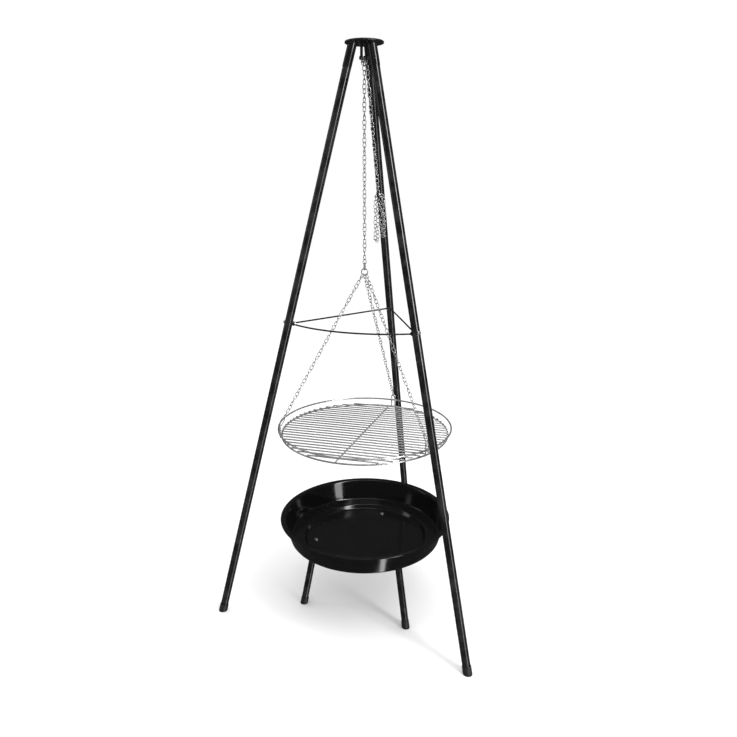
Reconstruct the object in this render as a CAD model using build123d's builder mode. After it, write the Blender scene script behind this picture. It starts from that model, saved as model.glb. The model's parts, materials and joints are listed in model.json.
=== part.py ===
from build123d import *
import os
from math import atan2, ceil, cos, degrees, hypot, radians, sin, sqrt, tan

os.makedirs("parts", exist_ok=True)

# ---------------------------------------------------------------- driving dimensions, millimetres
# Tripod
tripod_height = 1582.0
foot_radius = 434.0  # floor point of a leg's centre line, from the tripod's axis
leg_top_radius = 29.5  # where a leg's centre line meets the underside of the plate
leg_diameter = 22.0
leg_wall = 1.5
leg_entry = 8.0  # how far below the plate a leg's end stops inside its socket
socket_wall = 1.5
socket_clearance = 0.1
socket_length = 58.0
plate_radius = 49.0
plate_thickness = 4.0
plate_chamfer = 0.8
cap_wall = 1.2
cap_length = 21.0
cap_base = 4.0
leg_angles = {"rear": 90.0, "left": 210.0, "right": 330.0}

# Strap and pin under the plate
strap_width = 18.0
strap_depth = 12.0
strap_thickness = 3.0
strap_rounding = 2.4
strap_height = 38.0
pin_diameter = 5.0
pin_drop = 33.0  # pin's centre below the plate
pin_hex = 8.0  # across the flats of the pin's head and nut
pin_head = 3.5

# Brace
brace_along = 722.0  # along a leg, from the plate to its brace screw
rod_diameter = 4.5
front_rod_bow = 45.0
screw_diameter = 4.0
screw_clearance = 0.25
eye_radius = 6.0
eye_thickness = 2.5
tongue_gap = 1.0  # between an eye's rim and the round wire of its rod
head_diameter = 10.0
head_height = 3.0
head_rounding = 1.8
nut_width = 7.0
nut_height = 3.2
thread_end = 1.5
contact_gap = 0.05

# Chain
link_wire = 2.0
link_width = 10.4
link_pitch = 10.7
link_slack = 0.5
link_turn = 135.0
main_link_count = 47
tail_side_step = 4.8  # the spare chain sits this far along the pin from the main one

# Hook for the spare chain, on the rear leg
hook_along = 379.0
hook_wire = 5.0
hook_reach = 15.0
hook_rise = 14.0
hook_bend = 7.0
hook_seat = 7.0
hook_flange_radius = 7.0
hook_flange_thickness = 2.0
hank_strand = 7.0
hank_lengths = {-12.5: 122.0, -5.0: 128.0, 3.0: 118.0, 10.5: 104.0}  # sideways place: length
hank_out = 9.0  # from the hook's seat towards the tripod's axis
hank_drop = 9.0  # top of the folds below the hook's screw line
hank_rounding = 3.15

# Junction of the chains
junction_pitch = 15.0
junction_wire = 3.0
junction_width = 12.0
ring_wire = 3.0
ring_radius = 9.0
ring_spread = 38.0  # angle between two chains where they hang on the ring

# Grate
grate_radius = 250.0
grate_height = 551.0  # centre of the lower ring
grate_ring_wire = 5.0
grate_ring_step = 19.0
hanger_wire = 4.0
hanger_width = 15.0
hanger_top = 590.0
hanger_angles = {"rear": 89.5, "left": 212.5, "right": 334.0}
bar_wire = 4.0
bar_pitch = 18.2
bar_overhang = 2.0
bar_angle = 6.0
crossbar_wire = 4.0
crossbar_angle = 92.5
end_link_wire = 2.5
end_link_width = 11.0
end_link_least = 15.0

# Fire bowl
bowl_radius = 252.0
bowl_height = 286.0
bowl_sheet = 2.0
rim_width = 16.0
bowl_depth = 61.0
floor_radius = 221.0
recess_radius = 183.0
recess_depth = 12.0
recess_slope = 9.0
bowl_bend = 6.0
bowl_leg_diameter = 20.0
bowl_foot_radius = 190.0
bowl_screw_radius = 148.0
bowl_cap_wall = 1.2
bowl_cap_length = 20.0
bowl_cap_base = 3.0
bowl_screw_diameter = 6.0
bowl_head_diameter = 13.0
bowl_head_height = 3.5
bowl_head_rounding = 2.1
bowl_screw_depth = 26.0

# ---------------------------------------------------------------- worked-out values
plate_underside = tripod_height - plate_thickness
leg_tilt = atan2(foot_radius - leg_top_radius, plate_underside)
leg_line = hypot(foot_radius - leg_top_radius, plate_underside)  # from the plate to the floor
leg_radius = leg_diameter / 2
socket_bore = leg_radius + socket_clearance
socket_radius = socket_bore + socket_wall
cap_radius = leg_radius + contact_gap + cap_wall
foot_reach = foot_radius + cap_radius / cos(leg_tilt)
axis_y = (bowl_radius - foot_reach) / 2  # the origin is under the middle of the whole set
pin_height = plate_underside - pin_drop
link_length = link_pitch + link_slack + 2 * link_wire
floor_plane = Plane.XY


def point(radius, angle, height):
    """A place given by its distance from the tripod's axis, its direction and its height."""
    a = radians(angle)
    return Vector(radius * cos(a), axis_y + radius * sin(a), height)


def ground(height):
    """Level plane centred on the tripod's axis."""
    return Plane(origin=(0, axis_y, height))


def leg_plane(angle, along):
    """Plane square to a leg. Its Z runs down the leg, its X sideways and its Y outwards."""
    a = radians(angle)
    radius = leg_top_radius + along * sin(leg_tilt)
    down = (sin(leg_tilt) * cos(a), sin(leg_tilt) * sin(a), -cos(leg_tilt))
    return Plane(
        origin=point(radius, angle, plate_underside - along * cos(leg_tilt)),
        x_dir=(-sin(a), cos(a), 0),
        z_dir=down,
    )


def across_leg(angle, along, outwards):
    """Plane whose Z points out of the leg, `outwards` from its centre line, for screws and eyes."""
    leg = leg_plane(angle, along)
    return Plane(origin=leg.origin + leg.y_dir * outwards, x_dir=leg.x_dir, z_dir=leg.y_dir)


def save(piece, name):
    piece.label = name
    export_step(piece, f"parts/{name}.step")


def oval(length, width, wire):
    """One closed link of round wire, lying in XY with its long axis along Y."""
    side = (width - wire) / 2
    straight = (length - width) / 2
    with BuildPart() as link:
        with BuildLine() as path:
            Line((side, -straight), (side, straight))
            ThreePointArc((side, straight), (0, straight + side), (-side, straight))
            Line((-side, straight), (-side, -straight))
            ThreePointArc((-side, -straight), (0, -straight - side), (side, -straight))
        with BuildSketch(Plane(origin=path.line @ 0, z_dir=path.line % 0)):
            Circle(wire / 2)
        sweep()
    return link.part


def link_planes(start, end, count, side, twist):
    """Planes of `count` links hung in line from start to end. The first lies in the plane of
    the line and `side`, and each next one is turned by `twist` about the line."""
    line = (end - start).normalized()
    step = (end - start) * (1 / count)
    across = (side - line * side.dot(line)).normalized()
    other = line.cross(across)
    planes = []
    for i in range(count):
        turn = radians(i * twist)
        planes.append(
            Plane(
                origin=start + step * (i + 0.5),
                x_dir=across * cos(turn) + other * sin(turn),
                z_dir=(across * cos(turn) + other * sin(turn)).cross(line),
            )
        )
    return planes


def chain(name, planes):
    """Separate links, one at each plane, kept together as one named group."""
    links = [small_link.moved(plane.location) for plane in planes]
    save(Compound(children=links), name)


def even_twist(count, last_turn):
    """Turn from link to link near link_turn that leaves link number `count` at last_turn."""
    halves = round((count * link_turn - last_turn) / 180)
    return (halves * 180 + last_turn) / count


small_link = oval(link_length, link_width, link_wire)

# ---------------------------------------------------------------- top plate, strap and pin
with BuildPart() as top_plate:
    with BuildSketch(ground(plate_underside)):
        Circle(plate_radius)
    extrude(amount=plate_thickness)
    chamfer(top_plate.edges().group_by(Axis.Z)[-1], plate_chamfer)
save(top_plate.part, "top_plate")

strap_low = plate_underside - strap_height
strap_face = Plane(origin=(0, axis_y - strap_depth / 2, 0), x_dir=(1, 0, 0), z_dir=(0, -1, 0))
with BuildPart() as hanger_strap:
    with BuildSketch(strap_face):
        with Locations((0, strap_low + strap_height / 2)):
            Rectangle(strap_width, strap_height)
        inner_height = strap_height - strap_thickness
        with Locations((0, strap_low + inner_height / 2)):
            Rectangle(strap_width - 2 * strap_thickness, inner_height, mode=Mode.SUBTRACT)
    extrude(amount=-strap_depth)
    upper_corners = hanger_strap.edges().filter_by(Axis.Y).group_by(Axis.Z)[-1]
    fillet(upper_corners, strap_rounding)
    with Locations(Plane(origin=(strap_width / 2, axis_y, pin_height), z_dir=(1, 0, 0))):
        Hole(pin_diameter / 2 + contact_gap, depth=strap_width)
save(hanger_strap.part, "hanger_strap")

pin_side = strap_width / 2 + contact_gap
pin_left = Plane(origin=(-pin_side, axis_y, pin_height), z_dir=(-1, 0, 0))
pin_right = Plane(origin=(pin_side, axis_y, pin_height), z_dir=(1, 0, 0))
with BuildPart() as hanger_pin:
    with BuildSketch(pin_left):
        RegularPolygon(pin_hex / 2, 6, major_radius=False)
    extrude(amount=pin_head)
    with BuildSketch(pin_left):
        Circle(pin_diameter / 2)
    extrude(amount=-(2 * pin_side + nut_height + thread_end))
save(hanger_pin.part, "hanger_pin")

with BuildPart() as hanger_pin_nut:
    with BuildSketch(pin_right):
        RegularPolygon(pin_hex / 2, 6, major_radius=False)
        Circle(pin_diameter / 2 + contact_gap, mode=Mode.SUBTRACT)
    extrude(amount=nut_height)
save(hanger_pin_nut.part, "hanger_pin_nut")

# ---------------------------------------------------------------- legs, sockets and feet
leg_end = leg_line - (cap_base + leg_radius * sin(leg_tilt)) / cos(leg_tilt)
above_plate = 2 * socket_radius * tan(leg_tilt)
for side, angle in leg_angles.items():
    with BuildPart() as leg_socket:
        with BuildSketch(leg_plane(angle, -above_plate)):
            Circle(socket_radius)
            Circle(socket_bore, mode=Mode.SUBTRACT)
        extrude(amount=above_plate + socket_length)
        split(bisect_by=Plane.XY.offset(plate_underside), keep=Keep.BOTTOM)
    save(leg_socket.part, f"leg_socket_{side}")

    with BuildPart() as leg:
        with BuildSketch(leg_plane(angle, leg_entry)):
            Circle(leg_radius)
            Circle(leg_radius - leg_wall, mode=Mode.SUBTRACT)
        extrude(amount=leg_end - leg_entry)
        with BuildSketch(across_leg(angle, brace_along, -leg_diameter)):
            Circle(screw_diameter / 2 + screw_clearance)
        extrude(amount=2 * leg_diameter, mode=Mode.SUBTRACT)
    save(leg.part, f"leg_{side}")

    with BuildPart() as foot_cap:
        with BuildSketch(leg_plane(angle, leg_line - cap_length)):
            Circle(cap_radius)
        extrude(amount=cap_length + above_plate)
        with BuildSketch(leg_plane(angle, leg_line - cap_length)):
            Circle(leg_radius + contact_gap)
        extrude(amount=leg_end - leg_line + cap_length + contact_gap, mode=Mode.SUBTRACT)
        split(bisect_by=floor_plane, keep=Keep.TOP)
    save(foot_cap.part, f"foot_cap_{side}")

# ---------------------------------------------------------------- brace rods and their screws
eye_steps = [leg_radius + contact_gap, leg_radius + 2 * contact_gap + eye_thickness]
rod_start = eye_radius + rod_diameter / 2 + tongue_gap


def eye_plane(angle, layer):
    """Plane on the inner side of a leg on which a rod's flat eye lies, facing the axis."""
    leg = leg_plane(angle, brace_along)
    return Plane(
        origin=leg.origin - leg.y_dir * eye_steps[layer], x_dir=leg.x_dir, z_dir=leg.y_dir * -1
    )


def rod_end(angle, layer, hand):
    """Where a rod's round wire starts, on the tongue of its eye."""
    seat = eye_plane(angle, layer)
    return seat.origin + seat.x_dir * (hand * rod_start) + seat.z_dir * (eye_thickness / 2)


def brace_rod(name, first, first_layer, second, second_layer, bow):
    begin = rod_end(first, first_layer, 1)
    finish = rod_end(second, second_layer, -1)
    middle = (begin + finish) * 0.5
    outward = (middle - Vector(0, axis_y, middle.Z)).normalized()
    with BuildPart() as rod:
        with BuildLine() as path:
            if bow > 0:
                ThreePointArc(begin, middle + outward * bow, finish)
            else:
                Line(begin, finish)
        with BuildSketch(Plane(origin=path.line @ 0, z_dir=path.line % 0)):
            Circle(rod_diameter / 2)
        sweep()
        for angle, layer, hand in ((first, first_layer, 1), (second, second_layer, -1)):
            seat = eye_plane(angle, layer)
            with BuildSketch(seat):
                Circle(eye_radius)
                with Locations((hand * rod_start / 2, 0)):
                    Rectangle(rod_start, rod_diameter)
                Circle(screw_diameter / 2 + screw_clearance, mode=Mode.SUBTRACT)
            extrude(amount=eye_thickness)
            with Locations(rod_end(angle, layer, hand)):
                Sphere(rod_diameter / 2 + contact_gap)
    save(rod.part, name)


brace_rod("brace_rod_front", leg_angles["left"], 0, leg_angles["right"], 0, front_rod_bow)
brace_rod("brace_rod_right", leg_angles["right"], 1, leg_angles["rear"], 1, 0)
brace_rod("brace_rod_left", leg_angles["rear"], 0, leg_angles["left"], 1, 0)

stack = eye_steps[1] + eye_thickness + contact_gap
for side, angle in leg_angles.items():
    with BuildPart() as brace_screw:
        with BuildSketch(across_leg(angle, brace_along, leg_radius + contact_gap)):
            Circle(head_diameter / 2)
        extrude(amount=head_height)
        head_rim = brace_screw.edges().sort_by_distance(leg_plane(angle, brace_along).origin)[-1]
        fillet(head_rim, head_rounding)
        with BuildSketch(across_leg(angle, brace_along, leg_radius + contact_gap)):
            Circle(screw_diameter / 2)
        extrude(amount=-(leg_radius + contact_gap + stack + nut_height + thread_end))
    save(brace_screw.part, f"brace_screw_{side}")

    with BuildPart() as brace_nut:
        with BuildSketch(across_leg(angle, brace_along, -stack)):
            RegularPolygon(nut_width / 2, 6, major_radius=False)
            Circle(screw_diameter / 2 + contact_gap, mode=Mode.SUBTRACT)
        extrude(amount=-nut_height)
    save(brace_nut.part, f"brace_nut_{side}")

# ---------------------------------------------------------------- hook on the rear leg
hook_leg = leg_plane(leg_angles["rear"], hook_along)
hook_plane = Plane(origin=hook_leg.origin, x_dir=hook_leg.y_dir * -1, z_dir=hook_leg.x_dir)
with BuildPart() as chain_hook:
    with BuildLine(hook_plane) as hook_path:
        FilletPolyline(
            (leg_radius + contact_gap, 0),
            (leg_radius + hook_reach, 0),
            (leg_radius + hook_reach, hook_rise),
            radius=hook_bend,
        )
    with BuildSketch(Plane(origin=hook_path.line @ 0, z_dir=hook_path.line % 0)):
        Circle(hook_wire / 2)
    sweep()
    with BuildSketch(Plane(origin=hook_path.line @ 0, z_dir=hook_path.line % 0)):
        Circle(hook_flange_radius)
    extrude(amount=hook_flange_thickness)
    with Locations(hook_path.line @ 1):
        Sphere(hook_wire / 2)
save(chain_hook.part, "chain_hook")

# ---------------------------------------------------------------- main chain
pin_top = Vector(0, axis_y, pin_height + pin_diameter / 2)
down = Vector(0, 0, -1)
pin_link_plane = link_planes(pin_top, pin_top + down * link_pitch, 1, Vector(0, 1, 0), 0)
chain("pin_link", pin_link_plane)

main_top = pin_top + down * link_pitch
main_bottom = main_top + down * (link_pitch * main_link_count)
main_twist = even_twist(main_link_count, 90)
main_side = Vector(-sin(radians(main_twist)), cos(radians(main_twist)), 0)
chain("main_chain", link_planes(main_top, main_bottom, main_link_count, main_side, -main_twist))

# ---------------------------------------------------------------- spare chain to the rear leg
pin_centre = Vector(tail_side_step, axis_y, pin_height)
seat_centre = hook_leg.origin - hook_leg.y_dir * (leg_radius + hook_seat)
tail_line = (seat_centre - pin_centre).normalized()
tail_top = pin_centre - tail_line * (pin_diameter / 2)
tail_end = seat_centre + tail_line * (hook_wire / 2)
tail_count = ceil((tail_end - tail_top).length / link_pitch)
tail_twist = even_twist(tail_count - 1, 90)
chain("tail_chain", link_planes(tail_top, tail_end, tail_count, Vector(0, 1, 0), tail_twist))

# The spare length is folded over the hook; each fold is a closed stand-in of one chain's thickness.
hank_face = leg_radius + hook_seat + hank_out
hank_centre = hook_leg.origin - hook_leg.y_dir * hank_face
hank_solids = []
for sideways, length in hank_lengths.items():
    with BuildPart() as strand:
        top = hank_centre + Vector(sideways, 0, -hank_drop)
        with BuildSketch(Plane(origin=top)):
            Circle(hank_strand / 2)
        extrude(amount=-length)
        fillet(strand.edges(), hank_rounding)
    hank_solids.append(strand.part)
save(Compound(children=hank_solids), "chain_hank")

# ---------------------------------------------------------------- junction link and ring
ring_centre = main_bottom + down * (junction_pitch + ring_radius - ring_wire / 2)
junction_oval = oval(junction_pitch + link_slack + 2 * junction_wire, junction_width, junction_wire)
junction_place = link_planes(main_bottom, main_bottom + down * junction_pitch, 1, Vector(0, 1, 0), 0)
save(junction_oval.moved(junction_place[0].location), "junction_link")

with BuildPart() as junction_ring:
    with Locations(Plane(origin=ring_centre, z_dir=(0, 1, 0))):
        Torus(ring_radius, ring_wire / 2)
save(junction_ring.part, "junction_ring")

# ---------------------------------------------------------------- grate
upper_ring_radius = grate_radius - grate_ring_wire / 2
lower_ring_radius = upper_ring_radius - grate_ring_wire - hanger_wire - 4 * contact_gap
hanger_radius = (upper_ring_radius + lower_ring_radius) / 2
upper_ring_height = grate_height + grate_ring_step

with BuildPart() as grate_ring_upper:
    with Locations(ground(upper_ring_height)):
        Torus(upper_ring_radius, grate_ring_wire / 2)
save(grate_ring_upper.part, "grate_ring_upper")

with BuildPart() as grate_ring_lower:
    with Locations(ground(grate_height)):
        Torus(lower_ring_radius, grate_ring_wire / 2)
save(grate_ring_lower.part, "grate_ring_lower")

bar_height = grate_height + (grate_ring_wire + bar_wire) / 2
bar_room = lower_ring_radius + grate_ring_wire / 2 - bar_pitch / 2
bars_each_side = int(bar_room // bar_pitch)
bar_frame = Plane(
    origin=(0, axis_y, bar_height), x_dir=(cos(radians(bar_angle)), sin(radians(bar_angle)), 0)
)
bar_solids = []
for i in range(-bars_each_side, bars_each_side + 1):
    offset_y = i * bar_pitch
    half = sqrt(lower_ring_radius**2 - offset_y**2) + bar_overhang
    with BuildPart() as bar:
        begin = bar_frame.origin + bar_frame.y_dir * offset_y - bar_frame.x_dir * half
        with BuildSketch(Plane(origin=begin, z_dir=bar_frame.x_dir)):
            Circle(bar_wire / 2)
        extrude(amount=2 * half)
    bar_solids.append(bar.part)
save(Compound(children=bar_solids), "grate_bars")

crossbar_height = bar_height - (bar_wire + crossbar_wire) / 2
crossbar_half = lower_ring_radius - grate_ring_wire / 2
with BuildPart() as grate_crossbar:
    begin = point(crossbar_half, crossbar_angle + 180, crossbar_height)
    with BuildSketch(Plane(origin=begin, z_dir=point(1, crossbar_angle, 0) - point(0, 0, 0))):
        Circle(crossbar_wire / 2)
    extrude(amount=2 * crossbar_half)
save(grate_crossbar.part, "grate_crossbar")

hanger_half = (hanger_width - hanger_wire) / 2
hanger_crown = hanger_top - hanger_wire / 2
for index, (side, angle) in enumerate(hanger_angles.items()):
    a = radians(angle)
    facing = Plane(
        origin=point(hanger_radius, angle, 0), x_dir=(-sin(a), cos(a), 0), z_dir=(cos(a), sin(a), 0)
    )
    with BuildPart() as grate_hanger:
        with BuildLine(facing) as hanger_path:
            Line((hanger_half, grate_height), (hanger_half, hanger_crown - hanger_half))
            ThreePointArc(
                (hanger_half, hanger_crown - hanger_half),
                (0, hanger_crown),
                (-hanger_half, hanger_crown - hanger_half),
            )
            Line((-hanger_half, hanger_crown - hanger_half), (-hanger_half, grate_height))
        with BuildSketch(Plane(origin=hanger_path.line @ 0, z_dir=hanger_path.line % 0)):
            Circle(hanger_wire / 2)
        sweep()
    save(grate_hanger.part, f"grate_hanger_{side}")

    # A branch chain runs from the junction ring to the hanger and ends in a larger oval link.
    spot = radians((0, -1, 1)[index] * ring_spread)
    on_ring = ring_centre + Vector(ring_radius * sin(spot), 0, -ring_radius * cos(spot))
    crown = point(hanger_radius, angle, hanger_crown)
    line = (crown - on_ring).normalized()
    first = on_ring - line * (ring_wire / 2)
    last = crown + line * (hanger_wire / 2)
    count = int(((last - first).length - end_link_least) // link_pitch)
    chain_end = first + line * (count * link_pitch)
    end_side = Vector(cos(a), sin(a), 0)
    across = (end_side - line * end_side.dot(line)).normalized()
    ring_side = line.cross(Vector(cos(spot), 0, sin(spot))).normalized()
    away = degrees(atan2(line.dot(across.cross(ring_side)), across.dot(ring_side)))
    twist = even_twist(count - 1, 90 - away)
    chain(f"branch_chain_{side}", link_planes(first, chain_end, count, ring_side, twist))
    end_pitch = (last - chain_end).length
    end_oval = oval(end_pitch + link_slack + 2 * end_link_wire, end_link_width, end_link_wire)
    end_place = link_planes(chain_end, last, 1, end_side, 0)
    save(end_oval.moved(end_place[0].location), f"end_link_{side}")

# ---------------------------------------------------------------- fire bowl
floor_height = bowl_height - bowl_depth
recess_height = floor_height - recess_depth
bowl_face = Plane(origin=(0, axis_y, 0), x_dir=(1, 0, 0), z_dir=(0, -1, 0))
with BuildPart() as bowl_shell:
    with BuildSketch(bowl_face):
        with BuildLine() as inside:
            FilletPolyline(
                (0, recess_height),
                (recess_radius - recess_slope, recess_height),
                (recess_radius, floor_height),
                (floor_radius, floor_height),
                (bowl_radius - rim_width, bowl_height),
                (bowl_radius, bowl_height),
                radius=bowl_bend,
            )
            offset(amount=-bowl_sheet, side=Side.RIGHT)
        make_face()
    revolve(axis=Axis((0, axis_y, 0), (0, 0, 1)))
    for angle in leg_angles.values():
        with Locations(point(bowl_screw_radius, angle, recess_height)):
            Hole(bowl_screw_diameter / 2 + screw_clearance)
save(bowl_shell.part, "bowl_shell")

leg_seat = recess_height - bowl_sheet - contact_gap
bowl_leg_tilt = atan2(bowl_foot_radius - bowl_screw_radius, leg_seat)
bowl_leg_line = hypot(bowl_foot_radius - bowl_screw_radius, leg_seat)
bowl_leg_radius = bowl_leg_diameter / 2
bowl_end_lift = bowl_cap_base + bowl_leg_radius * sin(bowl_leg_tilt)  # a leg's end above the floor
bowl_leg_end = bowl_leg_line - bowl_end_lift / cos(bowl_leg_tilt)
bowl_cap_radius = bowl_leg_radius + contact_gap + bowl_cap_wall
spare_end = 2 * bowl_leg_diameter * tan(bowl_leg_tilt)


def bowl_leg_plane(angle, along):
    """Plane square to a bowl leg. Its Z runs down the leg."""
    a = radians(angle)
    lean = sin(bowl_leg_tilt)
    radius = bowl_screw_radius + along * lean
    return Plane(
        origin=point(radius, angle, leg_seat - along * cos(bowl_leg_tilt)),
        x_dir=(-sin(a), cos(a), 0),
        z_dir=(lean * cos(a), lean * sin(a), -cos(bowl_leg_tilt)),
    )


for side, angle in leg_angles.items():
    with BuildPart() as bowl_leg:
        with BuildSketch(bowl_leg_plane(angle, -spare_end)):
            Circle(bowl_leg_radius)
        extrude(amount=bowl_leg_end + spare_end)
        split(bisect_by=Plane.XY.offset(leg_seat), keep=Keep.BOTTOM)
        with BuildSketch(Plane(origin=point(bowl_screw_radius, angle, leg_seat))):
            Circle(bowl_screw_diameter / 2 + contact_gap)
        extrude(amount=-bowl_screw_depth, mode=Mode.SUBTRACT)
    save(bowl_leg.part, f"bowl_leg_{side}")

    with BuildPart() as bowl_screw:
        screw_seat = Plane(origin=point(bowl_screw_radius, angle, recess_height + contact_gap))
        with BuildSketch(screw_seat):
            Circle(bowl_head_diameter / 2)
        extrude(amount=bowl_head_height)
        fillet(bowl_screw.edges().group_by(Axis.Z)[-1], bowl_head_rounding)
        with BuildSketch(screw_seat):
            Circle(bowl_screw_diameter / 2)
        extrude(amount=-(bowl_screw_depth - thread_end))
    save(bowl_screw.part, f"bowl_screw_{side}")

    with BuildPart() as bowl_foot_cap:
        with BuildSketch(bowl_leg_plane(angle, bowl_leg_line - bowl_cap_length)):
            Circle(bowl_cap_radius)
        extrude(amount=bowl_cap_length + spare_end)
        with BuildSketch(bowl_leg_plane(angle, bowl_leg_line - bowl_cap_length)):
            Circle(bowl_leg_radius + contact_gap)
        cap_depth = bowl_leg_end - bowl_leg_line + bowl_cap_length + contact_gap
        extrude(amount=cap_depth, mode=Mode.SUBTRACT)
        split(bisect_by=floor_plane, keep=Keep.TOP)
    save(bowl_foot_cap.part, f"bowl_foot_cap_{side}")
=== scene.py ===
import json
import math

import bmesh
import bpy
import numpy as np
from mathutils import Matrix, Vector


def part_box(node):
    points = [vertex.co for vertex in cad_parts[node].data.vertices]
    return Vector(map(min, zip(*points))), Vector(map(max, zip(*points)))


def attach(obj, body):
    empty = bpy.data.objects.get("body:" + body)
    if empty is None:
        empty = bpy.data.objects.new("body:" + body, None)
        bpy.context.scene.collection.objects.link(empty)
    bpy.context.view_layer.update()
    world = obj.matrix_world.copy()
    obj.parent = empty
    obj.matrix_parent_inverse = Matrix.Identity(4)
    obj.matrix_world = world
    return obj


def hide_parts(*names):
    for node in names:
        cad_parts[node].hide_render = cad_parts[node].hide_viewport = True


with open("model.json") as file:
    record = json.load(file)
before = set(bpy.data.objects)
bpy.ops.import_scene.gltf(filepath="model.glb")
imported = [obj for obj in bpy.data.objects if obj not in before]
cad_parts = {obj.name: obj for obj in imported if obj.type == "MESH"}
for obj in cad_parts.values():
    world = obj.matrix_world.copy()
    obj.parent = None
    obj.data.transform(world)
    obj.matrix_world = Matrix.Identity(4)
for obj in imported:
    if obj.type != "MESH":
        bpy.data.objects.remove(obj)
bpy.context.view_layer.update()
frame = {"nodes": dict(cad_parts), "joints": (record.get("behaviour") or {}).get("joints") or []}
bpy.ops.object.select_all(action="DESELECT")
nodes = frame["nodes"]
sides = {"rear": 90, "left": 210, "right": 330}
up = Vector((0, 0, 1))


def boxCentre(node):
    low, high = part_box(node)
    return (low + high) / 2


def boxSize(node):
    low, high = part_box(node)
    return high - low


plateCentre = boxCentre("top_plate")
axisPlace = Vector((plateCentre.x, plateCentre.y, 0))


def nodeLine(node):
    # upper and lower end of a long straight node's centre line
    points = np.array([v.co for v in nodes[node].data.vertices])
    middle = points.mean(0)
    along = np.linalg.svd(points - middle, full_matrices=False)[2][0]
    if along[2] < 0:
        along = -along
    reach = (points - middle) @ along
    return Vector(middle + along * reach.max()), Vector(middle + along * reach.min())


# Materials


coatDetail = {
    "peelShare": 0.35, "smudgeFrom": 0.35, "smudgeTo": 0.7, "edgeFrom": 0.52, "edgeTo": 0.62,
    "patchFrom": 0.4, "patchTo": 0.65, "dustFacing": 0.5, "bumpDeep": 0.0006,
}


def linkSockets(tree, pairs):
    for source, target in pairs:
        tree.links.new(source, target)


def addNode(tree, kind, **values):
    made = tree.nodes.new(kind)
    for key, value in values.items():
        if hasattr(made, key):
            setattr(made, key, value)
        else:
            made.inputs[key.replace("_", " ").title()].default_value = value
    return made


def newGroup(name, inputs, outputs):
    group = bpy.data.node_groups.new(name, "ShaderNodeTree")
    for label, kind, value in inputs:
        socket = group.interface.new_socket(label, in_out="INPUT", socket_type=kind)
        if value is not None:
            socket.default_value = value
    for label, kind in outputs:
        group.interface.new_socket(label, in_out="OUTPUT", socket_type=kind)
    entry = group.nodes.new("NodeGroupInput")
    leave = group.nodes.new("NodeGroupOutput")
    return group, entry, leave


def buildRippleGroup():
    # the slow waviness and fine orange peel of a baked or plated coat
    group, entry, leave = newGroup(
        "coatRipple",
        [
            ("Place", "NodeSocketVector", None),
            ("Ripple Scale", "NodeSocketFloat", 60.0),
            ("Peel Scale", "NodeSocketFloat", 900.0),
            ("Smooth", "NodeSocketFloat", 0.1),
            ("Rough", "NodeSocketFloat", 0.3),
        ],
        [("Height", "NodeSocketFloat"), ("Roughness", "NodeSocketFloat")],
    )
    ripple = addNode(group, "ShaderNodeTexNoise", detail=2.0)
    peel = addNode(group, "ShaderNodeTexNoise", detail=1.0)
    smudge = addNode(group, "ShaderNodeTexNoise", detail=5.0)
    half = addNode(group, "ShaderNodeMath", operation="MULTIPLY")
    half.inputs[1].default_value = coatDetail["peelShare"]
    total = addNode(group, "ShaderNodeMath", operation="ADD")
    spread = addNode(group, "ShaderNodeMapRange")
    spread.inputs["From Min"].default_value = coatDetail["smudgeFrom"]
    spread.inputs["From Max"].default_value = coatDetail["smudgeTo"]
    linkSockets(
        group,
        [
            (entry.outputs["Place"], ripple.inputs["Vector"]),
            (entry.outputs["Place"], peel.inputs["Vector"]),
            (entry.outputs["Place"], smudge.inputs["Vector"]),
            (entry.outputs["Ripple Scale"], ripple.inputs["Scale"]),
            (entry.outputs["Ripple Scale"], smudge.inputs["Scale"]),
            (entry.outputs["Peel Scale"], peel.inputs["Scale"]),
            (peel.outputs["Fac"], half.inputs[0]),
            (half.outputs[0], total.inputs[0]),
            (ripple.outputs["Fac"], total.inputs[1]),
            (smudge.outputs["Fac"], spread.inputs["Value"]),
            (entry.outputs["Smooth"], spread.inputs["To Min"]),
            (entry.outputs["Rough"], spread.inputs["To Max"]),
            (total.outputs[0], leave.inputs["Height"]),
            (spread.outputs["Result"], leave.inputs["Roughness"]),
        ],
    )
    return group


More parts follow.
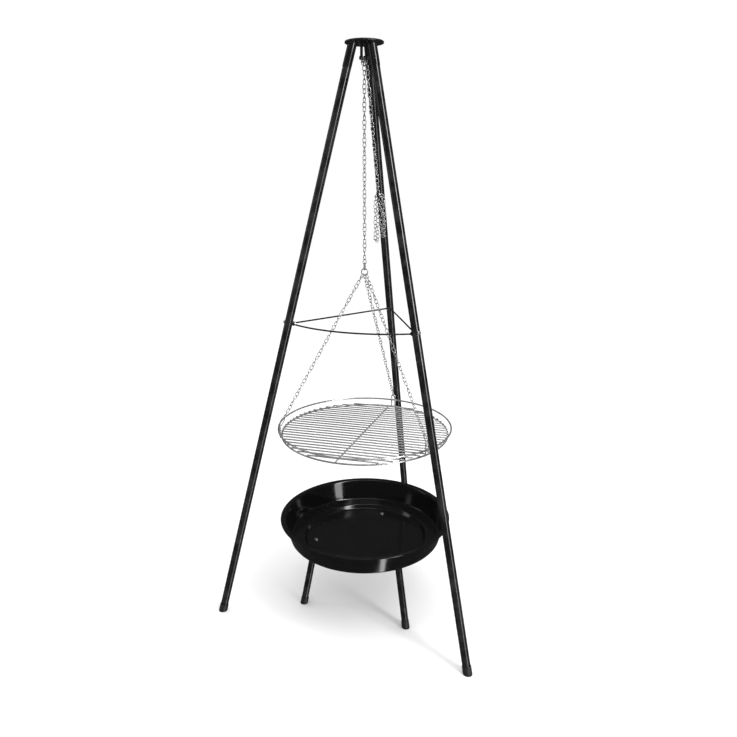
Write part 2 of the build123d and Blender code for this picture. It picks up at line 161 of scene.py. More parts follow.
def buildWearGroup():
    # rubbed edges and a thin film of dust on what faces up
    group, entry, leave = newGroup(
        "wearAndDust",
        [
            ("Place", "NodeSocketVector", None),
            ("Coat", "NodeSocketColor", (0.01, 0.01, 0.01, 1)),
            ("Rubbed", "NodeSocketColor", (0.1, 0.1, 0.1, 1)),
            ("Dust", "NodeSocketColor", (0.3, 0.29, 0.27, 1)),
            ("Wear", "NodeSocketFloat", 0.3),
            ("Dustiness", "NodeSocketFloat", 0.05),
            ("Patch Scale", "NodeSocketFloat", 40.0),
        ],
        [("Colour", "NodeSocketColor")],
    )
    shape = addNode(group, "ShaderNodeNewGeometry")
    edge = addNode(group, "ShaderNodeMapRange")
    edge.inputs["From Min"].default_value = coatDetail["edgeFrom"]
    edge.inputs["From Max"].default_value = coatDetail["edgeTo"]
    patches = addNode(group, "ShaderNodeTexNoise", detail=4.0)
    patchRange = addNode(group, "ShaderNodeMapRange")
    patchRange.inputs["From Min"].default_value = coatDetail["patchFrom"]
    patchRange.inputs["From Max"].default_value = coatDetail["patchTo"]
    rubbed = addNode(group, "ShaderNodeMath", operation="MULTIPLY")
    rubbedShare = addNode(group, "ShaderNodeMath", operation="MULTIPLY")
    facing = addNode(group, "ShaderNodeSeparateXYZ")
    upward = addNode(group, "ShaderNodeMapRange")
    upward.inputs["From Min"].default_value = coatDetail["dustFacing"]
    dusty = addNode(group, "ShaderNodeMath", operation="MULTIPLY")
    dustShare = addNode(group, "ShaderNodeMath", operation="MULTIPLY")
    wornMix = addNode(group, "ShaderNodeMix", data_type="RGBA")
    dustMix = addNode(group, "ShaderNodeMix", data_type="RGBA")
    linkSockets(
        group,
        [
            (shape.outputs["Pointiness"], edge.inputs["Value"]),
            (entry.outputs["Place"], patches.inputs["Vector"]),
            (entry.outputs["Patch Scale"], patches.inputs["Scale"]),
            (patches.outputs["Fac"], patchRange.inputs["Value"]),
            (edge.outputs["Result"], rubbed.inputs[0]),
            (patchRange.outputs["Result"], rubbed.inputs[1]),
            (rubbed.outputs[0], rubbedShare.inputs[0]),
            (entry.outputs["Wear"], rubbedShare.inputs[1]),
            (shape.outputs["Normal"], facing.inputs[0]),
            (facing.outputs["Z"], upward.inputs["Value"]),
            (upward.outputs["Result"], dusty.inputs[0]),
            (patches.outputs["Fac"], dusty.inputs[1]),
            (dusty.outputs[0], dustShare.inputs[0]),
            (entry.outputs["Dustiness"], dustShare.inputs[1]),
            (rubbedShare.outputs[0], wornMix.inputs["Factor"]),
            (entry.outputs["Coat"], wornMix.inputs["A"]),
            (entry.outputs["Rubbed"], wornMix.inputs["B"]),
            (dustShare.outputs[0], dustMix.inputs["Factor"]),
            (wornMix.outputs["Result"], dustMix.inputs["A"]),
            (entry.outputs["Dust"], dustMix.inputs["B"]),
            (dustMix.outputs["Result"], leave.inputs["Colour"]),
        ],
    )
    return group


rippleGroup = buildRippleGroup()
wearGroup = buildWearGroup()

finishes = {
    "legEnamel": {
        "coat": (0.006, 0.006, 0.006), "rubbed": (0.05, 0.05, 0.05), "wear": 0.35, "dust": 0.015,
        "metal": 0.0, "smooth": 0.1, "rough": 0.2, "ripple": 45.0, "peel": 700.0, "bump": 0.03,
        "patch": 30.0,
    },
    "bowlEnamel": {
        "coat": (0.004, 0.004, 0.0045), "rubbed": (0.04, 0.04, 0.04), "wear": 0.3, "dust": 0.01,
        "metal": 0.0, "smooth": 0.07, "rough": 0.16, "ripple": 22.0, "peel": 420.0, "bump": 0.05,
        "patch": 18.0,
    },
    "plateEnamel": {
        "coat": (0.006, 0.006, 0.006), "rubbed": (0.05, 0.05, 0.05), "wear": 0.35, "dust": 0.01,
        "metal": 0.0, "smooth": 0.38, "rough": 0.55, "ripple": 60.0, "peel": 900.0, "bump": 0.12,
        "patch": 40.0,
    },
    "braceEnamel": {
        "coat": (0.012, 0.012, 0.012), "rubbed": (0.12, 0.12, 0.12), "wear": 0.4, "dust": 0.02,
        "metal": 0.0, "smooth": 0.22, "rough": 0.36, "ripple": 80.0, "peel": 1200.0, "bump": 0.05,
        "patch": 60.0,
    },
    "chainZinc": {
        "coat": (0.5, 0.5, 0.51), "rubbed": (0.8, 0.8, 0.8), "wear": 0.5, "dust": 0.02,
        "metal": 0.75, "smooth": 0.2, "rough": 0.4, "ripple": 260.0, "peel": 2200.0, "bump": 0.08,
        "patch": 140.0,
    },
    "grateChrome": {
        "coat": (0.62, 0.62, 0.63), "rubbed": (0.8, 0.8, 0.8), "wear": 0.5, "dust": 0.03,
        "metal": 0.75, "smooth": 0.18, "rough": 0.36, "ripple": 90.0, "peel": 1500.0, "bump": 0.06,
        "patch": 70.0,
    },
    "ringChrome": {
        "coat": (0.55, 0.55, 0.56), "rubbed": (0.75, 0.75, 0.75), "wear": 0.5, "dust": 0.03,
        "metal": 0.75, "smooth": 0.18, "rough": 0.3, "ripple": 90.0, "peel": 1500.0, "bump": 0.06,
        "patch": 50.0,
    },
    "weldMetal": {
        "coat": (0.34, 0.33, 0.32), "rubbed": (0.6, 0.6, 0.6), "wear": 0.6, "dust": 0.02,
        "metal": 1.0, "smooth": 0.3, "rough": 0.55, "ripple": 500.0, "peel": 3000.0, "bump": 0.25,
        "patch": 300.0,
    },
    "screwZinc": {
        "coat": (0.55, 0.55, 0.54), "rubbed": (0.8, 0.8, 0.8), "wear": 0.5, "dust": 0.03,
        "metal": 1.0, "smooth": 0.2, "rough": 0.4, "ripple": 300.0, "peel": 2400.0, "bump": 0.05,
        "patch": 200.0,
    },
    "capPlastic": {
        "coat": (0.012, 0.012, 0.012), "rubbed": (0.05, 0.05, 0.05), "wear": 0.5, "dust": 0.05,
        "metal": 0.0, "smooth": 0.42, "rough": 0.6, "ripple": 120.0, "peel": 2600.0, "bump": 0.3,
        "patch": 90.0,
    },
}


def buildMaterial(name, values):
    material = bpy.data.materials.new(name)
    material.use_nodes = True
    tree = material.node_tree
    shader = tree.nodes["Principled BSDF"]
    place = addNode(tree, "ShaderNodeTexCoord")
    ripple = addNode(tree, "ShaderNodeGroup", node_tree=rippleGroup)
    wear = addNode(tree, "ShaderNodeGroup", node_tree=wearGroup)
    bump = addNode(tree, "ShaderNodeBump")
    ripple.inputs["Ripple Scale"].default_value = values["ripple"]
    ripple.inputs["Peel Scale"].default_value = values["peel"]
    ripple.inputs["Smooth"].default_value = values["smooth"]
    ripple.inputs["Rough"].default_value = values["rough"]
    wear.inputs["Coat"].default_value = (*values["coat"], 1)
    wear.inputs["Rubbed"].default_value = (*values["rubbed"], 1)
    wear.inputs["Wear"].default_value = values["wear"]
    wear.inputs["Dustiness"].default_value = values["dust"]
    wear.inputs["Patch Scale"].default_value = values["patch"]
    bump.inputs["Strength"].default_value = values["bump"]
    bump.inputs["Distance"].default_value = coatDetail["bumpDeep"]
    shader.inputs["Metallic"].default_value = values["metal"]
    linkSockets(
        tree,
        [
            (place.outputs["Object"], ripple.inputs["Place"]),
            (place.outputs["Object"], wear.inputs["Place"]),
            (wear.outputs["Colour"], shader.inputs["Base Color"]),
            (ripple.outputs["Roughness"], shader.inputs["Roughness"]),
            (ripple.outputs["Height"], bump.inputs["Height"]),
            (bump.outputs["Normal"], shader.inputs["Normal"]),
        ],
    )
    return material


materials = {name: buildMaterial(name, values) for name, values in finishes.items()}
print("materials made:", len(materials))


# Modelling helpers


def onlySelect(piece):
    bpy.ops.object.select_all(action="DESELECT")
    piece.select_set(True)
    bpy.context.view_layer.objects.active = piece


def addStart(adder, **values):
    # a primitive, alone in the selection
    bpy.ops.object.select_all(action="DESELECT")
    adder(**values)
    return bpy.context.active_object


def selectIn(piece, kind, test):
    # in edit mode, selects only the faces, edges or points that pass the test
    bpy.ops.mesh.select_all(action="DESELECT")
    bpy.ops.mesh.select_mode(type={"faces": "FACE", "edges": "EDGE", "verts": "VERT"}[kind])
    mesh = bmesh.from_edit_mesh(piece.data)
    for item in getattr(mesh, kind):
        item.select_set(test(item))
    bmesh.update_edit_mesh(piece.data)


def applyAll(piece):
    onlySelect(piece)
    for modifier in list(piece.modifiers):
        bpy.ops.object.modifier_apply(modifier=modifier.name)
    bpy.ops.object.transform_apply(location=True, rotation=True, scale=True)


def finishPiece(piece, name, finish, body, replaced=(), angle=40):
    applyAll(piece)
    bpy.ops.object.shade_smooth_by_angle(angle=math.radians(angle))
    piece.name = name
    piece.data.name = name
    piece.data.materials.clear()
    piece.data.materials.append(materials[finish])
    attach(piece, body)
    if replaced:
        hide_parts(*replaced)
    return piece


def lineTurn(start, end):
    return (end - start).to_track_quat("Z", "Y").to_euler()


def addRod(start, end, radius, around, endBevel):
    # a round rod with rounded end edges
    rod = addStart(
        bpy.ops.mesh.primitive_cylinder_add,
        vertices=around,
        radius=radius,
        depth=(end - start).length,
        location=(start + end) / 2,
        rotation=lineTurn(start, end),
    )
    half = (end - start).length / 2
    bpy.ops.object.mode_set(mode="EDIT")
    selectIn(rod, "edges", lambda e: abs(e.verts[0].co.z - e.verts[1].co.z) < half / 10)
    bpy.ops.mesh.bevel(offset=endBevel, segments=2)
    bpy.ops.object.mode_set(mode="OBJECT")
    return rod


def lathe(profile, around, centre):
    # a turned shell: one ring of points, extruded and scaled from station to station
    firstRadius, firstHeight = profile[0]
    shell = addStart(
        bpy.ops.mesh.primitive_circle_add,
        vertices=around,
        radius=firstRadius,
        fill_type="NOTHING",
        location=(centre.x, centre.y, firstHeight),
    )
    bpy.ops.object.mode_set(mode="EDIT")
    bpy.ops.mesh.select_all(action="SELECT")
    lastRadius, lastHeight = firstRadius, firstHeight
    for radius, height in profile[1:]:
        bpy.ops.mesh.extrude_edges_move(
            TRANSFORM_OT_translate={"value": (0, 0, height - lastHeight)}
        )
        share = radius / lastRadius
        bpy.ops.transform.resize(
            value=(share, share, 1), center_override=(centre.x, centre.y, height)
        )
        lastRadius, lastHeight = radius, height
    bpy.ops.object.mode_set(mode="OBJECT")
    return shell


def joinAll(pieces):
    bpy.ops.object.select_all(action="DESELECT")
    for piece in pieces:
        piece.select_set(True)
    bpy.context.view_layer.objects.active = pieces[0]
    bpy.ops.object.join()
    return bpy.context.active_object


def copyAt(piece, matrix):
    # a copy with its own mesh, placed in the mesh
    twin = bpy.data.objects.new(piece.name, piece.data.copy())
    twin.data.transform(matrix)
    bpy.context.scene.collection.objects.link(twin)
    return twin


def discard(piece):
    mesh = piece.data
    bpy.data.objects.remove(piece)
    bpy.data.meshes.remove(mesh)


# Chain

chainSizes = {
    "wire": 0.002, "width": 0.0104, "pitch": 0.0107, "slack": 0.0005,
    "twist": 45.0, "turn": 135.0, "around": 14, "wireSides": 6, "upperShare": 0.86,
}


def addLink(sizes, wireShare=1.0):
    # one closed link standing along Z, its width along X, twisted along its length
    side = (sizes["width"] - sizes["wire"]) / 2
    straight = (sizes["pitch"] + sizes["slack"] + 2 * sizes["wire"] - sizes["width"]) / 2
    link = addStart(
        bpy.ops.mesh.primitive_torus_add,
        major_radius=side,
        minor_radius=sizes["wire"] / 2 * wireShare,
        major_segments=sizes["around"],
        minor_segments=sizes["wireSides"],
    )
    bpy.ops.object.mode_set(mode="EDIT")
    bpy.ops.mesh.select_all(action="SELECT")
    bpy.ops.transform.rotate(
        value=math.pi / sizes["around"], orient_axis="Z", center_override=(0, 0, 0)
    )
    for way in (1, -1):
        selectIn(link, "verts", lambda v: v.co.y * way > 0)
        bpy.ops.transform.translate(value=(0, way * straight, 0))
    bpy.ops.mesh.select_all(action="SELECT")
    bpy.ops.transform.rotate(value=-math.pi / 2, orient_axis="X", center_override=(0, 0, 0))
    bpy.ops.object.mode_set(mode="OBJECT")
    twist = link.modifiers.new("twist", "SIMPLE_DEFORM")
    twist.deform_method = "TWIST"
    twist.deform_axis = "Z"
    twist.angle = math.radians(sizes["twist"])
    applyAll(link)
    return link


def flatten(side, line):
    return (side - line * side.dot(line)).normalized()


def linkMatrix(place, line, side):
    # stands a link along a line, with its width along side
    rise = -line
    wide = flatten(side, line)
    turned = Matrix((wide, rise.cross(wide), rise)).transposed().to_4x4()
    turned.translation = place
    return turned


def hangLinks(link, start, end, count, upperSide, lowerSide, sizes):
    # links in line from start to end. The first one's upper end is wide along upperSide and
    # the last one's lower end along lowerSide; between them each is turned from the one above.
    line = (end - start).normalized()
    across = flatten(upperSide, line)
    other = line.cross(across)
    low = flatten(lowerSide, line)
    lowAngle = math.degrees(math.atan2(low.dot(other), low.dot(across)))
    total = lowAngle - sizes["twist"]
    halves = round(((count - 1) * sizes["turn"] - total) / 180)
    turn = (total + 180 * halves) / (count - 1)
    step = (end - start) / count
    made = []
    for index in range(count):
        angle = math.radians(sizes["twist"] / 2 + index * turn)
        wide = across * math.cos(angle) + other * math.sin(angle)
        made.append(copyAt(link, linkMatrix(start + step * (index + 0.5), line, wide)))
    return made


def chainRun(node, sizes):
    # the hanging points of a straight chain node and its number of links
    top, bottom = nodeLine(node)
    line = (bottom - top).normalized()
    spare = sizes["wire"] + sizes["slack"] / 2
    start, end = top + line * spare, bottom - line * spare
    return start, end, round((end - start).length / sizes["pitch"])


smallLink = addLink(chainSizes)
thinLink = addLink(chainSizes, chainSizes["upperShare"])

mainStart, mainEnd, mainCount = chainRun("main_chain", chainSizes)
sideways, foreAft = Vector((1, 0, 0)), Vector((0, 1, 0))
mainLinks = hangLinks(smallLink, mainStart, mainEnd, mainCount, sideways, sideways, chainSizes)
finishPiece(
    joinAll(mainLinks), "mainChainLinks", "chainZinc", "junction",
    ["main_chain"], 80,
)

# As the grate is let down, thinner links that lie inside the upper ones at rest stay above.
# The two sets line up only at rest and right down: at heights between, their links cross.
lowering = next(j for j in frame["joints"] if j["name"] == "chain_height")["range_m"][0]
paidOut = round(-lowering / chainSizes["pitch"])
upperLinks = hangLinks(thinLink, mainStart, mainEnd, mainCount, sideways, sideways, chainSizes)
for extra in upperLinks[paidOut:]:
    discard(extra)
finishPiece(
    joinAll(upperLinks[:paidOut]), "mainChainUpperLinks", "chainZinc", "hanging_chain",
    ["main_chain"], 80,
)

tailStart, tailEnd, tailCount = chainRun("tail_chain", chainSizes)
tailLinks = hangLinks(smallLink, tailStart, tailEnd, tailCount, foreAft, sideways, chainSizes)
finishPiece(
    joinAll(tailLinks), "tailChainLinks", "chainZinc", "tripod", ["tail_chain"], 80
)

ringCentre = boxCentre("junction_ring")
for side in sides:
    start, end, count = chainRun(f"branch_chain_{side}", chainSizes)
    line = (end - start).normalized()
    fromRing = start - ringCentre
    tangent = foreAft.cross(fromRing)
    outward = boxCentre(f"grate_hanger_{side}") - axisPlace
    outward.z = 0
    links = hangLinks(
        smallLink, start, end, count, line.cross(tangent), line.cross(outward), chainSizes
    )
    finishPiece(
        joinAll(links), f"branchChain_{side}", "chainZinc", "grate",
        [f"branch_chain_{side}"], 80,
    )
print("chains made")

# The spare length: one chain that goes down and up from the hook in two loops
hank = {
    "strands": (-0.0085, -0.0012, 0.0095, 0.0162), "lengths": (0.132, 0.118),
    "rise": 0.004, "shoulder": 0.012, "nearer": 0.006, "layer": 0.003, "firstTurn": 20.0,
    "downFrom": (0.25, 0.8, 0.003), "backTo": (0.6, 0.2, 0.004),
}
hankLow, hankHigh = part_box("chain_hank")
hankDepth = (hankLow.y + hankHigh.y) / 2 + hank["nearer"]
hookLow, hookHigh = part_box("chain_hook")


def loopPath(left, right, top, length, depth, count=10):
    # points from the hook down one strand, round the bottom, up the next and back to the hook
    radius = (right - left) / 2
    bottom = top - length + radius
    shoulder = top - hank["shoulder"]
    seat = (hookLow.y + hookHigh.y) / 2
    between = (depth + seat) / 2
    onHook, besideHook, sag = hank["downFrom"]
    points = [Vector((left * onHook, seat, top)), Vector((left * besideHook, between, top - sag))]
    points += [Vector((left, depth, shoulder)), Vector((left, depth, bottom))]
    for index in range(1, count):
        turn = math.pi * index / count
        across = left + radius - radius * math.cos(turn)
        points.append(Vector((across, depth, bottom - radius * math.sin(turn))))
    points += [Vector((right, depth, bottom)), Vector((right, depth, shoulder))]
    besideHook, onHook, sag = hank["backTo"]
    points.append(Vector((right * besideHook, between, top - sag)))
    points.append(Vector((right * onHook, seat, top)))
    return points


def linksAlong(link, points, sizes):
    # links end to end along a path of straight pieces
    made = []
    lengths = [0.0]
    for a, b in zip(points, points[1:]):
        lengths.append(lengths[-1] + (b - a).length)

    def at(distance):
        for index in range(len(points) - 1):
            if distance <= lengths[index + 1] or index == len(points) - 2:
                share = (distance - lengths[index]) / (lengths[index + 1] - lengths[index])
                return points[index].lerp(points[index + 1], share)

    count = int(lengths[-1] // sizes["pitch"])
    for index in range(count):
        a, b = at(index * sizes["pitch"]), at((index + 1) * sizes["pitch"])
        line = (b - a).normalized()
        angle = math.radians(hank["firstTurn"] + index * sizes["turn"])
        across = flatten(foreAft, line)
        other = line.cross(across)
        wide = across * math.cos(angle) + other * math.sin(angle)
        made.append(copyAt(link, linkMatrix((a + b) / 2, line, wide)))
    return made


hankLinks = []
for index in (0, 1):
    left, right = hank["strands"][2 * index : 2 * index + 2]
    top = (hookLow.z + hookHigh.z) / 2 + hank["rise"]
    path = loopPath(left, right, top, hank["lengths"][index], hankDepth + index * hank["layer"])
    hankLinks += linksAlong(smallLink, path, chainSizes)
finishPiece(
    joinAll(hankLinks), "spareChainLinks", "chainZinc", "tripod", ["chain_hank"], 80
)

# a few slack links heaped on the pin beside the hanging ones
heap = {
    "links": (
        (-0.0044, 0.0, -0.0052, 8), (-0.0021, 0.0012, -0.0049, -24),
        (0.0052, -0.0014, -0.0046, 34), (-0.0035, -0.0045, -0.0125, 70),
        (0.0066, -0.0052, -0.0085, 110),
    ),
    "sway": 0.12, "facing": (0.2, 1, 0.1),
}
pinMiddle = boxCentre("hanger_pin")
pinMiddle.x = 0
heapLinks = []
for across, depth, drop, lean in heap["links"]:
    tilt = math.radians(lean)
    line = Vector((heap["sway"], math.sin(tilt), -math.cos(tilt))).normalized()
    place = pinMiddle + Vector((across, depth, drop))
    heapLinks.append(copyAt(smallLink, linkMatrix(place, line, Vector(heap["facing"]))))
finishPiece(joinAll(heapLinks), "pinHeapLinks", "chainZinc", "tripod", (), 80)
discard(smallLink)
discard(thinLink)
print("spare chain folded")

# Grate

grateSizes = {
    "ringWire": 0.005, "barWire": 0.004, "barPitch": 0.0182, "barOverhang": 0.002,
    "barAngle": 6.0, "crossWire": 0.004, "weldLong": 0.0038, "weldHigh": 0.0016,
    "barSides": 12, "barRound": 0.0006, "crossSides": 14, "crossRound": 0.0008,
    "crossReach": 0.999, "weldSunk": 0.45,
}


def addRing(node, wire, name):
    size = boxSize(node)
    ring = addStart(
        bpy.ops.mesh.primitive_torus_add,
        major_radius=(size.x - wire) / 2,
        minor_radius=wire / 2,
        major_segments=180,
        minor_segments=12,
        location=boxCentre(node),
    )
    finishPiece(ring, name, "ringChrome", "grate", [node], 60)


addRing("grate_ring_upper", grateSizes["ringWire"], "grateUpperRing")
addRing("grate_ring_lower", grateSizes["ringWire"], "grateLowerRing")

lowerRadius = (boxSize("grate_ring_lower").x - grateSizes["ringWire"]) / 2
barHeight = boxCentre("grate_bars").z
barTurn = math.radians(grateSizes["barAngle"])
barAlong = Vector((math.cos(barTurn), math.sin(barTurn), 0))
barAcross = Vector((-math.sin(barTurn), math.cos(barTurn), 0))
barReach = lowerRadius + grateSizes["ringWire"] / 2 - grateSizes["barPitch"] / 2
barSide = int(barReach // grateSizes["barPitch"])
barMiddle = axisPlace + up * barHeight
bars, weldPlaces, crossWeldPlaces = [], [], []
for index in range(-barSide, barSide + 1):
    offset = index * grateSizes["barPitch"]
    crossing = math.sqrt(lowerRadius**2 - offset**2)
    half = crossing + grateSizes["barOverhang"]
    middle = barMiddle + barAcross * offset
    bars.append(
        addRod(
            middle - barAlong * half, middle + barAlong * half, grateSizes["barWire"] / 2,
            grateSizes["barSides"], grateSizes["barRound"],
        )
    )
    for way in (1, -1):
        sunk = up * grateSizes["barWire"] * grateSizes["weldSunk"]
        weldPlaces.append(middle + barAlong * crossing * way - sunk)
    crossWeldPlaces.append(middle - up * grateSizes["barWire"] * 0.5)
finishPiece(joinAll(bars), "grateBars", "grateChrome", "grate", ["grate_bars"], 50)

crossLine = nodes["grate_crossbar"]
crossPoints = np.array([v.co for v in crossLine.data.vertices])
crossMiddle = Vector(crossPoints.mean(0))
crossDirection = Vector(np.linalg.svd(crossPoints - crossPoints.mean(0), full_matrices=False)[2][0])
crossHalf = (lowerRadius - grateSizes["ringWire"] / 2) * grateSizes["crossReach"]
crossbar = addRod(
    crossMiddle - crossDirection * crossHalf,
    crossMiddle + crossDirection * crossHalf,
    grateSizes["crossWire"] / 2,
    grateSizes["crossSides"],
    grateSizes["crossRound"],
)
finishPiece(crossbar, "grateCrossbar", "ringChrome", "grate", ["grate_crossbar"], 50)

# a flattened spot of weld metal wherever a bar crosses the ring or the crossbar
spot = addStart(
    bpy.ops.mesh.primitive_uv_sphere_add, segments=8, ring_count=5,
    radius=grateSizes["weldLong"] / 2,
)
bpy.ops.object.mode_set(mode="EDIT")
bpy.ops.mesh.select_all(action="SELECT")
bpy.ops.transform.resize(
    value=(1, 1, grateSizes["weldHigh"] / grateSizes["weldLong"]), center_override=(0, 0, 0)
)
bpy.ops.object.mode_set(mode="OBJECT")
crossOffset = Vector((crossDirection.x, crossDirection.y, 0))
welds = []
for place in crossWeldPlaces:
    # slide the spot along its bar to the crossbar
    gap = place - crossMiddle
    gap.z = 0
    normal = Vector((-crossOffset.y, crossOffset.x, 0))
    weldPlaces.append(place - barAlong * (gap.dot(normal) / barAlong.dot(normal)))
for place in weldPlaces:
    welds.append(copyAt(spot, Matrix.Translation(place)))
finishPiece(joinAll(welds), "grateWelds", "weldMetal", "grate", (), 80)
discard(spot)
print("grate made")

# Fire bowl

bowlSizes = {
    "radius": 0.252, "rim": 0.016, "floor": 0.221, "recess": 0.183, "slope": 0.009,
    "depth": 0.061, "recessDepth": 0.012, "sheet": 0.002, "bend": 0.006,
    "around": 144, "middle": 0.03, "middleInset": 0.015, "rimInside": 0.0005, "edgeShare": 0.35,
}
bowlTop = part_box("bowl_shell")[1].z


def roundCorners(points, radius, steps=5):
    # a path of straight pieces with each inner corner rounded
    rounded = [points[0]]
    for before, corner, after in zip(points, points[1:], points[2:]):
        corner2 = Vector(corner)
        a = (Vector(before) - corner2).normalized()
        b = (Vector(after) - corner2).normalized()
        half = a.angle(b) / 2
        reach = radius / math.tan(half)
        centre = corner2 + (a + b).normalized() * (radius / math.sin(half))
        start = corner2 + a * reach - centre
        finish = corner2 + b * reach - centre
        for index in range(steps + 1):
            share = index / steps
            arm = start.slerp(finish, share).normalized() * radius
            rounded.append(tuple(centre + arm))
    rounded.append(points[-1])
    return rounded


floorHeight = bowlTop - bowlSizes["depth"]
recessHeight = floorHeight - bowlSizes["recessDepth"]
corners = [
    (bowlSizes["middle"], recessHeight),
    (bowlSizes["recess"] - bowlSizes["slope"], recessHeight),
    (bowlSizes["recess"], floorHeight),
    (bowlSizes["floor"], floorHeight),
    (bowlSizes["radius"] - bowlSizes["rim"], bowlTop),
    (bowlSizes["radius"] - bowlSizes["rimInside"], bowlTop),
]
nearMiddle = bowlSizes["middle"] + bowlSizes["bend"]
bowlProfile = roundCorners(corners, bowlSizes["bend"])
bowl = lathe(bowlProfile, bowlSizes["around"], axisPlace)
bpy.ops.object.mode_set(mode="EDIT")
selectIn(bowl, "edges", lambda e: e.is_boundary and e.verts[0].co.xy.length < nearMiddle)
bpy.ops.mesh.edge_face_add()
bpy.ops.mesh.inset(thickness=bowlSizes["middleInset"])
bpy.ops.mesh.poke()
bpy.ops.mesh.select_all(action="SELECT")
bpy.ops.mesh.normals_make_consistent(inside=False)
bpy.ops.object.mode_set(mode="OBJECT")
if bowl.data.polygons[0].normal.z < 0:
    onlySelect(bowl)
    bpy.ops.object.mode_set(mode="EDIT")
    bpy.ops.mesh.select_all(action="SELECT")
    bpy.ops.mesh.flip_normals()
    bpy.ops.object.mode_set(mode="OBJECT")
wallMaker = bowl.modifiers.new("wall", "SOLIDIFY")
wallMaker.thickness = bowlSizes["sheet"]
wallMaker.offset = -1
edgeRound = bowl.modifiers.new("edge", "BEVEL")
edgeRound.width = bowlSizes["sheet"] * bowlSizes["edgeShare"]
edgeRound.segments = 2
edgeRound.angle_limit = math.radians(50)
finishPiece(bowl, "bowlShell", "bowlEnamel", "fire_bowl", ["bowl_shell"], 50)
print("bowl made")

# Leg sockets

socketSizes = {
    "radius": 0.0117, "edgeRound": 0.0006, "around": 48, "above": 0.0005, "weld": 0.0016,
    "weldOut": 0.0002, "weldSides": 8, "lumps": 26, "lumpHigh": 0.0003,
}
weldSteps = socketSizes["lumps"] * 3  # every third ring of the bead's points stands proud


def onLump(point):
    return round(math.atan2(point.co.y, point.co.x) / math.tau * weldSteps) % 3 == 0



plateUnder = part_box("top_plate")[0].z
for side in sides:
    socketTop, socketBottom = nodeLine(f"leg_socket_{side}")
    socketLine = (socketBottom - socketTop).normalized()
    socket = addRod(
        socketTop + up * socketSizes["above"], socketBottom, socketSizes["radius"],
        socketSizes["around"], socketSizes["edgeRound"],
    )
    below = (socketTop.z - plateUnder) / -socketLine.z
    bead = addStart(
        bpy.ops.mesh.primitive_torus_add,
        major_radius=socketSizes["radius"] + socketSizes["weldOut"],
        minor_radius=socketSizes["weld"],
        major_segments=weldSteps,
        minor_segments=socketSizes["weldSides"],
        location=socketTop + socketLine * below,
    )
    bpy.ops.object.mode_set(mode="EDIT")
    selectIn(bead, "verts", onLump)
    bpy.ops.transform.shrink_fatten(value=socketSizes["lumpHigh"])
    bpy.ops.object.mode_set(mode="OBJECT")
    bothSocket = joinAll([socket, bead])
    applyAll(bothSocket)
    bpy.ops.object.mode_set(mode="EDIT")
    bpy.ops.mesh.select_all(action="SELECT")
    bpy.ops.mesh.bisect(
        plane_co=(0, 0, plateUnder), plane_no=(0, 0, 1), use_fill=True, clear_inner=False,
        clear_outer=True,
    )
    bpy.ops.object.mode_set(mode="OBJECT")
    finishPiece(
        bothSocket, f"legSocket_{side}", "legEnamel", "tripod",
        [f"leg_socket_{side}"], 45,
    )
print("leg sockets made")

# Foot caps

capSizes = {
    "tripod": (0.0124, 0.022, 40), "bowl": (0.0112, 0.021, 36), "round": 0.0016,
    "past": 0.01, "mouthShare": 0.1, "mouthDeep": 0.002,
}


def addFootCap(node, legNode, sizes, name, body):
    # a plain round cap on a leg's end, with rounded edges and its sole cut level with the floor
    radius, length, around = sizes
    top, bottom = nodeLine(legNode)
    line = (bottom - top).normalized()
    sole = bottom + line * (bottom.z / -line.z)
    start = sole - line * length
    cap = addStart(
        bpy.ops.mesh.primitive_cylinder_add,
        vertices=around,
        radius=radius,
        depth=length + capSizes["past"],
        location=start + line * (length + capSizes["past"]) / 2,
        rotation=lineTurn(sole, start),
    )
    bpy.ops.object.mode_set(mode="EDIT")
    selectIn(cap, "faces", lambda f: f.normal.z > 0.9)
    bpy.ops.mesh.inset(thickness=radius * capSizes["mouthShare"])
    bpy.ops.mesh.extrude_region_move(TRANSFORM_OT_translate={"value": (0, 0, 0)})
    bpy.ops.transform.translate(value=line * capSizes["mouthDeep"])
    bpy.ops.object.mode_set(mode="OBJECT")
    applyAll(cap)
    bpy.ops.object.mode_set(mode="EDIT")
    bpy.ops.mesh.select_all(action="SELECT")
    bpy.ops.mesh.bisect(
        plane_co=(0, 0, 0.0), plane_no=(0, 0, 1), use_fill=True, clear_inner=True, clear_outer=False
    )
    bpy.ops.object.mode_set(mode="OBJECT")
    soft = cap.modifiers.new("round", "BEVEL")
    soft.width = capSizes["round"]
    soft.segments = 3
    soft.angle_limit = math.radians(50)
    finishPiece(cap, name, "capPlastic", body, [node], 40)


for side in sides:
    addFootCap(f"foot_cap_{side}", f"leg_{side}", capSizes["tripod"], f"footCap_{side}", "tripod")
    addFootCap(
        f"bowl_foot_cap_{side}", f"bowl_leg_{side}", capSizes["bowl"], f"bowlFootCap_{side}",
        "fire_bowl",
    )
print("foot caps made")

# Finishes of the carried-over nodes

nodeFinish = {
    "top_plate": "plateEnamel", "hanger_strap": "legEnamel", "chain_hook": "legEnamel",
    "leg_socket": "legEnamel", "leg": "legEnamel", "foot_cap": "capPlastic",
    "brace_rod": "braceEnamel", "brace_screw": "screwZinc", "brace_nut": "screwZinc",
    "hanger_pin": "screwZinc", "pin_link": "chainZinc", "junction": "chainZinc",
    "end_link": "chainZinc", "grate_hanger": "ringChrome", "bowl_leg": "legEnamel",
    "bowl_screw": "screwZinc", "bowl_foot_cap": "capPlastic",
}
for name, node in nodes.items():
    fits = [key for key in nodeFinish if name.startswith(key)]
    finish = nodeFinish[max(fits, key=len)] if fits else "chainZinc"
    node.data.materials.clear()
    node.data.materials.append(materials[finish])
print("carried-over nodes finished")

# Stage, lights and camera

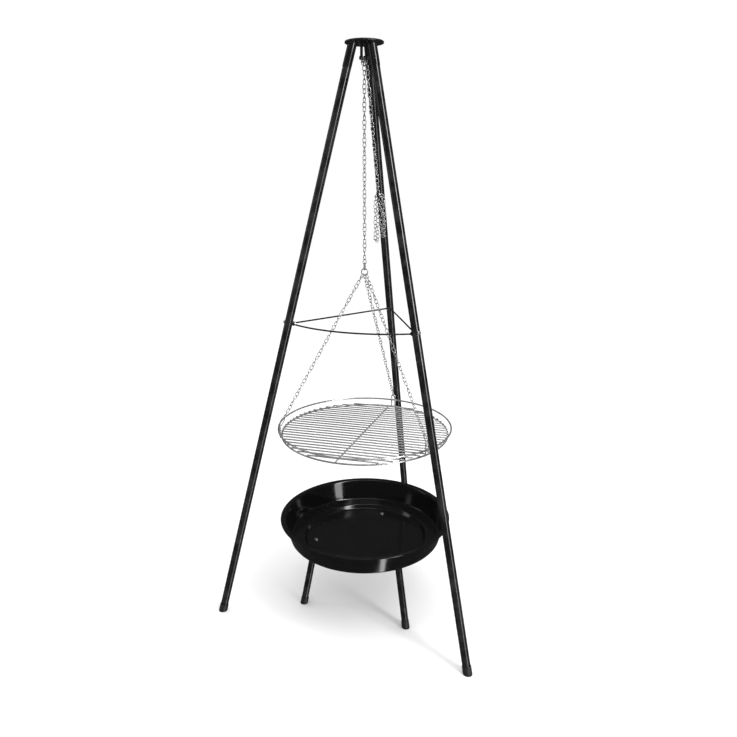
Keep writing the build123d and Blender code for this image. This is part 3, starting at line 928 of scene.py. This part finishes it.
# Matt surfaces see white all round. Glossy ones mirror a dark room with one upright band of
# light at its right, and don't see the floor.
stageSizes = {
    "floor": 200.0, "white": 1.0, "around": 0.06, "paint": 1.0,
    "band": 8.0, "bandTurn": 62.0, "bandHalf": 5.5, "floorDrop": 0.0005, "lightHeight": 0.8,
}
softboxes = {
    "keyStrip": (64, 36, 3.2, 0.6, 3.4, 60),
    "leftFill": (-75, 20, 3.8, 0.8, 2.4, 8),
    "overhead": (30, 80, 3.4, 2.2, 2.2, 22),
}

floor = addStart(
    bpy.ops.mesh.primitive_plane_add, size=stageSizes["floor"],
    location=(0, 0, -stageSizes["floorDrop"]),
)
floor.name = "studioFloor"
floorPaint = bpy.data.materials.new("floorPaint")
floorPaint.use_nodes = True
floorShader = floorPaint.node_tree.nodes["Principled BSDF"]
floorShader.inputs["Roughness"].default_value = 1.0
floorShader.inputs["Specular IOR Level"].default_value = 0.0
floorShader.inputs["Base Color"].default_value = (stageSizes["paint"],) * 3 + (1,)
floor.data.materials.append(floorPaint)
floor.visible_glossy = False

world = bpy.data.worlds.new("studio")
bpy.context.scene.world = world
world.use_nodes = True
worldTree = world.node_tree
worldTree.nodes.clear()
rayKind = addNode(worldTree, "ShaderNodeLightPath")
seen = addNode(worldTree, "ShaderNodeBackground")
seen.inputs["Color"].default_value = (stageSizes["white"],) * 3 + (1,)
direction = addNode(worldTree, "ShaderNodeTexCoord")
apart = addNode(worldTree, "ShaderNodeSeparateXYZ")
frontward = addNode(worldTree, "ShaderNodeMath", operation="MULTIPLY")
frontward.inputs[1].default_value = -1
turned = addNode(worldTree, "ShaderNodeMath", operation="ARCTAN2")
inBand = addNode(worldTree, "ShaderNodeMath", operation="COMPARE")
inBand.inputs[1].default_value = math.radians(stageSizes["bandTurn"])
inBand.inputs[2].default_value = math.radians(stageSizes["bandHalf"])
bandLight = addNode(worldTree, "ShaderNodeMapRange")
bandLight.inputs["To Min"].default_value = stageSizes["around"]
bandLight.inputs["To Max"].default_value = stageSizes["band"]
around = addNode(worldTree, "ShaderNodeBackground")
linkSockets(
    worldTree,
    [
        (direction.outputs["Generated"], apart.inputs["Vector"]),
        (apart.outputs["Y"], frontward.inputs[0]),
        (apart.outputs["X"], turned.inputs[0]),
        (frontward.outputs["Value"], turned.inputs[1]),
        (turned.outputs["Value"], inBand.inputs[0]),
        (inBand.outputs["Value"], bandLight.inputs["Value"]),
        (bandLight.outputs["Result"], around.inputs["Strength"]),
    ],
)
choose = addNode(worldTree, "ShaderNodeMixShader")
worldOut = addNode(worldTree, "ShaderNodeOutputWorld")
linkSockets(
    worldTree,
    [
        (rayKind.outputs["Is Glossy Ray"], choose.inputs[0]),
        (seen.outputs[0], choose.inputs[1]),
        (around.outputs[0], choose.inputs[2]),
        (choose.outputs[0], worldOut.inputs["Surface"]),
    ],
)

target = axisPlace + up * stageSizes["lightHeight"]


def addSoftbox(name, degrees, elevation, distance, width, height, power):
    turn, rise = math.radians(degrees), math.radians(elevation)
    away = Vector(
        (math.sin(turn) * math.cos(rise), -math.cos(turn) * math.cos(rise), math.sin(rise))
    )
    bpy.ops.object.light_add(type="AREA", location=target + away * distance)
    light = bpy.context.active_object
    light.name = name
    light.data.shape = "RECTANGLE"
    light.data.size = width
    light.data.size_y = height
    light.data.energy = power
    light.rotation_euler = away.to_track_quat("Z", "Y").to_euler()


for name, values in softboxes.items():
    addSoftbox(name, *values)

cameraSizes = {
    "place": (0.6705, -1.6936, 1.2552), "heading": 21.27, "pitch": -15.8, "lens": 32.8,
    "sensor": 36, "nearest": 0.01,
}
bpy.ops.object.camera_add(location=axisPlace + Vector(cameraSizes["place"]))
camera = bpy.context.active_object
camera.rotation_euler = (
    math.radians(90 + cameraSizes["pitch"]), 0, math.radians(cameraSizes["heading"])
)
camera.data.sensor_width = cameraSizes["sensor"]
camera.data.lens = cameraSizes["lens"]
camera.data.clip_start = cameraSizes["nearest"]
bpy.context.scene.camera = camera
bpy.context.scene.view_settings.view_transform = "Standard"
